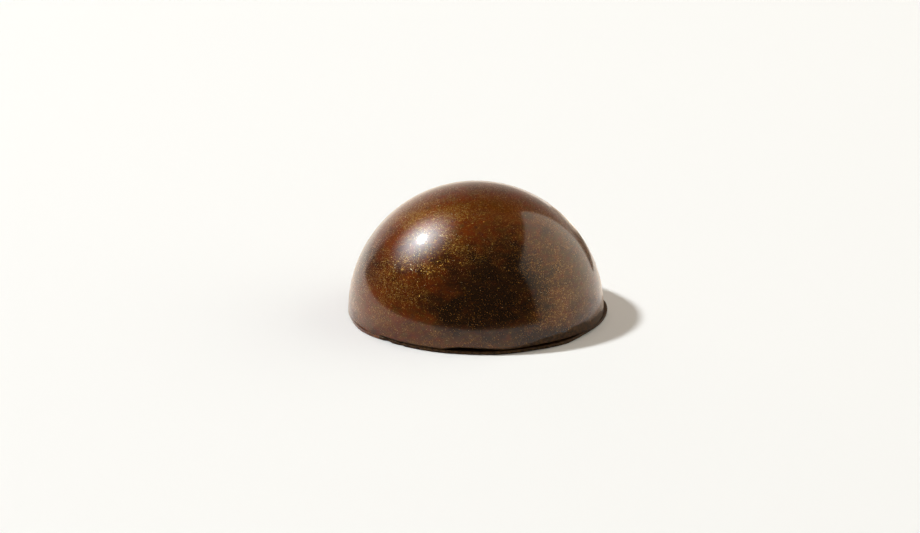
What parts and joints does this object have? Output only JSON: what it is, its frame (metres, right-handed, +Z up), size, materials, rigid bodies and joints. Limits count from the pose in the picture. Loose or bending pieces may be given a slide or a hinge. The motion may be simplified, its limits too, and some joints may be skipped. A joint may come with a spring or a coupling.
{
  "type": "chocolate praline",
  "caption": "Glossy half-dome chocolate praline dusted with fine gold, with a thin uneven foot round its flat base. A sweet to serve or display.",
  "frame": {"origin": "centre of the dome's circle, in the plane of the flat base that the praline stands on", "axes": "+Z up along the dome's axis; -Y faces the side with the open stretches of seam; +X is where the foot stands out most"},
  "size_m": [0.0305, 0.03, 0.0154],
  "materials": {
    "chocolate": null,
    "gold_dust": "fine gold lustre dust, as flakes lying on the chocolate"
  },
  "bodies": {
    "root": {"praline": "chocolate"}
  },
  "joints": []
}
